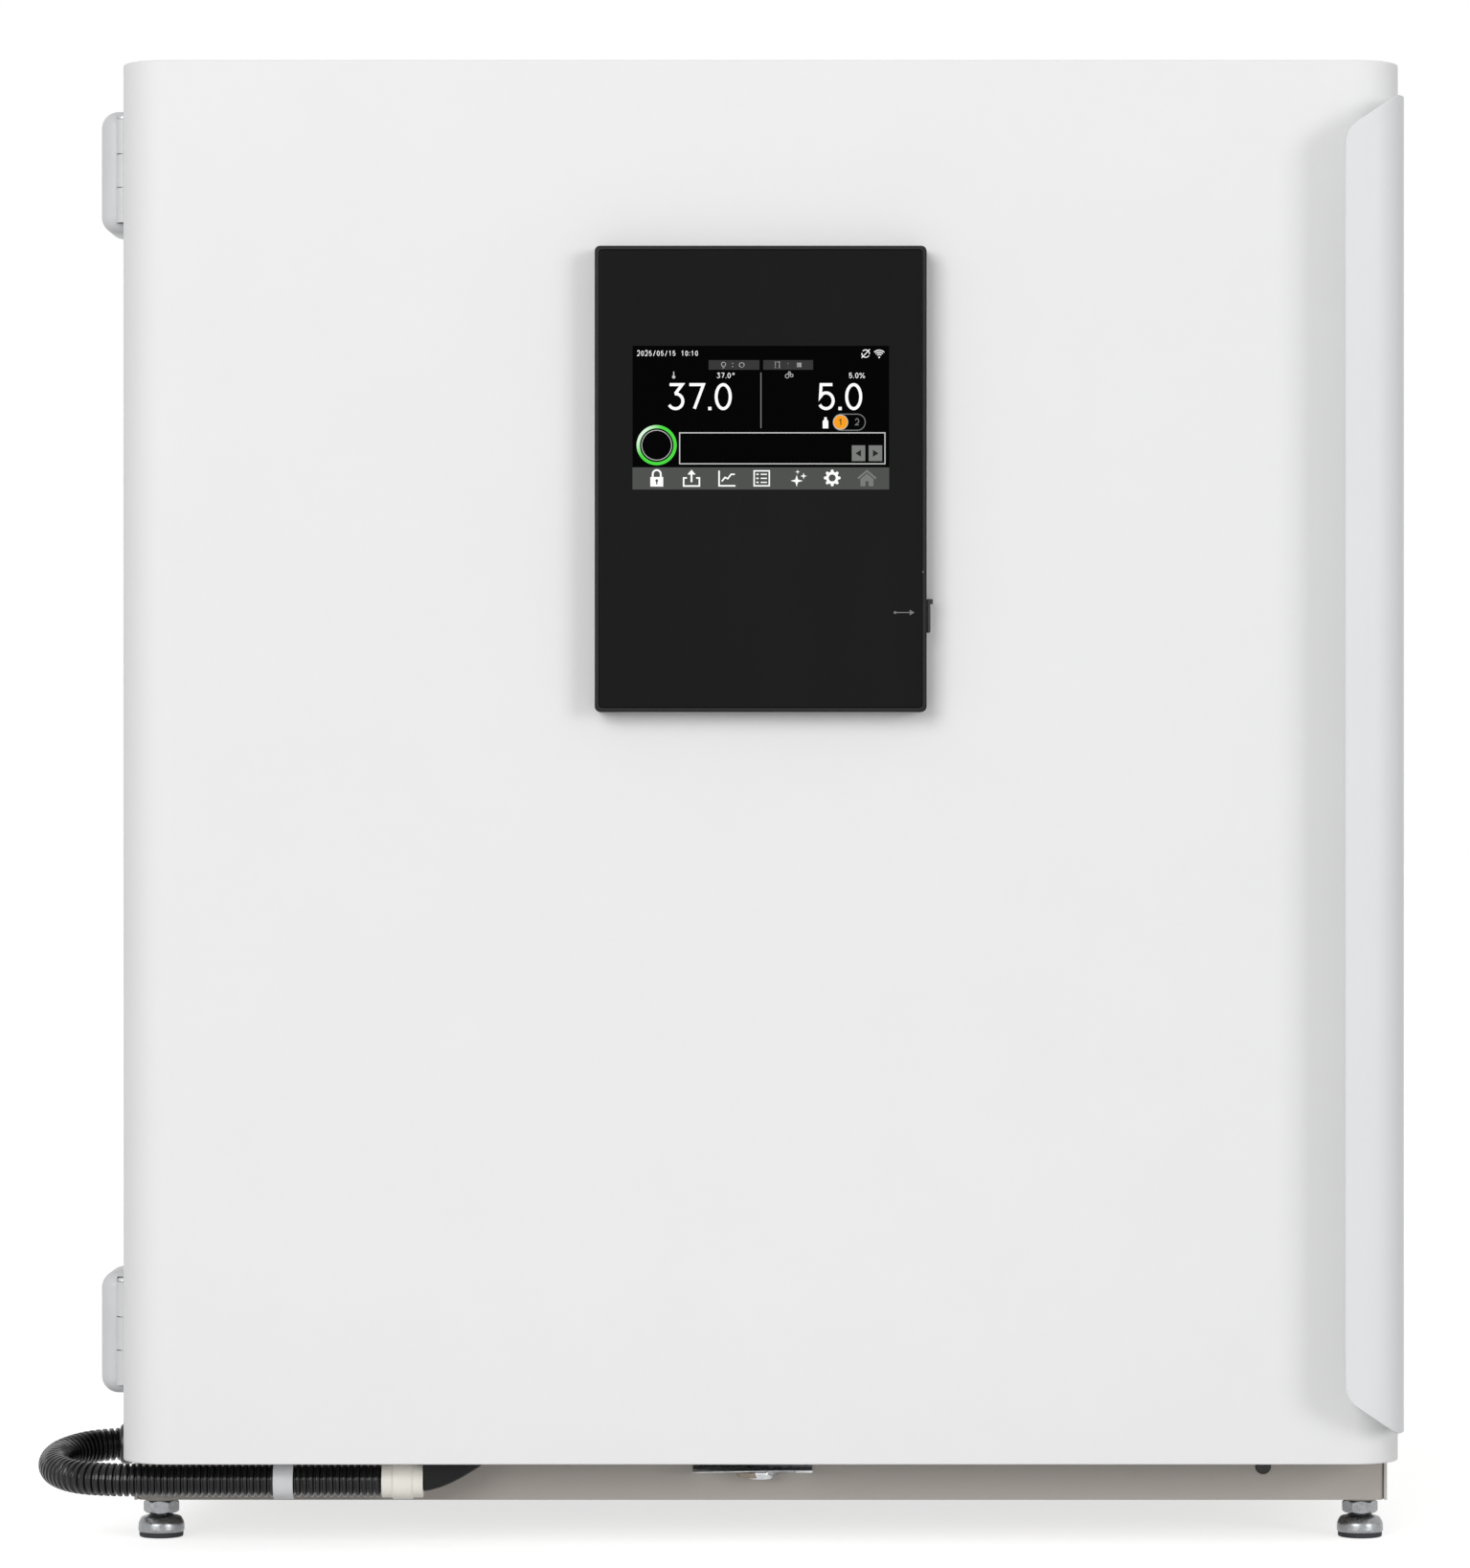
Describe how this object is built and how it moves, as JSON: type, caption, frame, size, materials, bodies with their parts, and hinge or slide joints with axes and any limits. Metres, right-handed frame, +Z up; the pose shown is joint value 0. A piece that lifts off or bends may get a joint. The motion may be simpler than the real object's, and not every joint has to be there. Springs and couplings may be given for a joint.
{
  "type": "carbon dioxide incubator",
  "caption": "Steel cabinet on levelling feet with a rounded outer door, full-height bent handle, front display, inner glass door, slotted shelves, circulating fan and door conduit.",
  "frame": {"origin": "centre of the footprint, without the conduit's loop, at the floor under the feet", "axes": "+Z up, +Y towards the rear, +X to the right seen from the front"},
  "size_m": [0.8296, 0.76, 0.905],
  "materials": {
    "door_paint": "satin white powder coat",
    "handle_paint": "satin silver-white coat",
    "case_paint": "satin grey-white coat",
    "base_paint": "matt grey coat",
    "white_plastic": "fine matt",
    "black_plastic": "gloss black",
    "black_glass": "polished black",
    "stainless": "brushed",
    "zinc_steel": "zinc plated",
    "clear_glass": "clear",
    "foam": "cast foam",
    "grey_rubber": "matt",
    "white_rubber": "matt",
    "lamp_glass": "frosted",
    "brass": "turned"
  },
  "bodies": {
    "cabinet": {"outer_case": "case_paint", "rear_panel": "case_paint", "rear_cover": "case_paint", "base_pan": "base_paint", "front_frame": "stainless", "chamber": "stainless", "chamber_gasket": "white_rubber", "insulation_jacket": "foam", "hinge_bracket_top": "door_paint", "hinge_bracket_bottom": "door_paint", "hinge_pin_top": "zinc_steel", "hinge_pin_bottom": "zinc_steel", "hinge_cover_top": "white_plastic", "hinge_cover_bottom": "white_plastic", "inner_hinge_bracket_top": "stainless", "inner_hinge_bracket_bottom": "stainless", "latch_keeper": "stainless", "rear_duct": "stainless", "fan_motor": "zinc_steel", "uv_lamp": "lamp_glass", "temperature_sensor": "stainless", "gas_sensor": "stainless", "access_port_sleeve": "white_plastic", "power_cord_gland": "black_plastic", "power_switch_housing": "black_plastic", "gas_inlet": "brass", "conduit_gland": "black_plastic", "conduit_loop": "black_plastic", "catch_bracket": "zinc_steel"},
    "outer_door": {"door_skin": "door_paint", "door_liner": "stainless", "door_insulation": "foam", "door_gasket": "grey_rubber", "handle": "handle_paint", "hinge_arm_top": "zinc_steel", "hinge_arm_bottom": "zinc_steel", "display_housing": "black_plastic", "display_glass": "black_glass", "usb_socket": "zinc_steel", "conduit_door_run": "black_plastic", "conduit_clip": "white_plastic", "conduit_fitting": "white_plastic", "cable_boot": "black_plastic"},
    "inner_door": {"inner_door_glass": "clear_glass", "inner_hinge_leaf_top": "stainless", "inner_hinge_leaf_bottom": "stainless", "inner_latch_base": "stainless"},
    "usb_cover": {"usb_cover": "black_plastic"},
    "fan_impeller": {"fan_impeller": "white_plastic"},
    "port_plug": {"port_plug": "white_rubber"},
    "switch_rocker": {"switch_rocker": "black_plastic"},
    "shelf_1": {"shelf_1": "stainless"},
    "shelf_2": {"shelf_2": "stainless"},
    "shelf_3": {"shelf_3": "stainless"},
    "humidity_pan": {"humidity_pan": "stainless"},
    "levelling_foot_1": {"levelling_foot_1": "zinc_steel"},
    "levelling_foot_2": {"levelling_foot_2": "zinc_steel"},
    "levelling_foot_3": {"levelling_foot_3": "zinc_steel"},
    "levelling_foot_4": {"levelling_foot_4": "zinc_steel"},
    "inner_latch": {"inner_latch_knob": "white_plastic"}
  },
  "joints": [
    {"name": "outer_door_hinge", "type": "hinge", "parent": "cabinet", "child": "outer_door", "pos_m": [-0.38115, -0.281, 0.476], "axis": [0, 0, -1], "range_deg": [0, 110], "deforming": ["conduit_loop"]},
    {"name": "inner_door_hinge", "type": "hinge", "parent": "cabinet", "child": "inner_door", "pos_m": [-0.34215, -0.275, 0.466], "axis": [0, 0, -1], "range_deg": [0, 92]},
    {"name": "inner_latch_turn", "type": "hinge", "parent": "inner_door", "child": "inner_latch", "pos_m": [0.33835, -0.2773, 0.466], "axis": [0, 1, 0], "range_deg": [0, 90]},
    {"name": "usb_cover_hinge", "type": "hinge", "parent": "outer_door", "child": "usb_cover", "pos_m": [0.10865, -0.3535, 0.5634], "axis": [0, 0, 1], "range_deg": [0, 90]},
    {"name": "fan_spin", "type": "hinge", "parent": "cabinet", "child": "fan_impeller", "pos_m": [0.00835, 0.2487, 0.7], "axis": [0, 1, 0], "continuous": true},
    {"name": "port_plug_slide", "type": "slide", "parent": "cabinet", "child": "port_plug", "axis": [0, 1, 0], "range_m": [0, 0.06]},
    {"name": "switch_rocker_turn", "type": "hinge", "parent": "cabinet", "child": "switch_rocker", "pos_m": [0.30835, 0.3483, 0.14], "axis": [1, 0, 0], "range_deg": [0, 14]},
    {"name": "humidity_pan_slide", "type": "slide", "parent": "cabinet", "child": "humidity_pan", "axis": [0, -1, 0], "range_m": [0, 0.12]},
    {"name": "shelf_1_slide", "type": "slide", "parent": "cabinet", "child": "shelf_1", "axis": [0, -1, 0], "range_m": [0, 0.12]},
    {"name": "shelf_2_slide", "type": "slide", "parent": "cabinet", "child": "shelf_2", "axis": [0, -1, 0], "range_m": [0, 0.12]},
    {"name": "shelf_3_slide", "type": "slide", "parent": "cabinet", "child": "shelf_3", "axis": [0, -1, 0], "range_m": [0, 0.12]},
    {"name": "levelling_foot_1_screw", "type": "slide", "parent": "cabinet", "child": "levelling_foot_1", "axis": [0, 0, -1], "range_m": [0, 0.015]},
    {"name": "levelling_foot_2_screw", "type": "slide", "parent": "cabinet", "child": "levelling_foot_2", "axis": [0, 0, -1], "range_m": [0, 0.015]},
    {"name": "levelling_foot_3_screw", "type": "slide", "parent": "cabinet", "child": "levelling_foot_3", "axis": [0, 0, -1], "range_m": [0, 0.015]},
    {"name": "levelling_foot_4_screw", "type": "slide", "parent": "cabinet", "child": "levelling_foot_4", "axis": [0, 0, -1], "range_m": [0, 0.015]}
  ],
  "couplings": [
    {"joint": "inner_door_hinge", "follows": "outer_door_hinge", "ratio": 0.8333},
    {"joint": "shelf_1_slide", "follows": "outer_door_hinge", "m_per_rad": 0.0583},
    {"joint": "shelf_2_slide", "follows": "outer_door_hinge", "m_per_rad": 0.0583},
    {"joint": "shelf_3_slide", "follows": "outer_door_hinge", "m_per_rad": 0.0583},
    {"joint": "humidity_pan_slide", "follows": "outer_door_hinge", "m_per_rad": 0.0583}
  ]
}
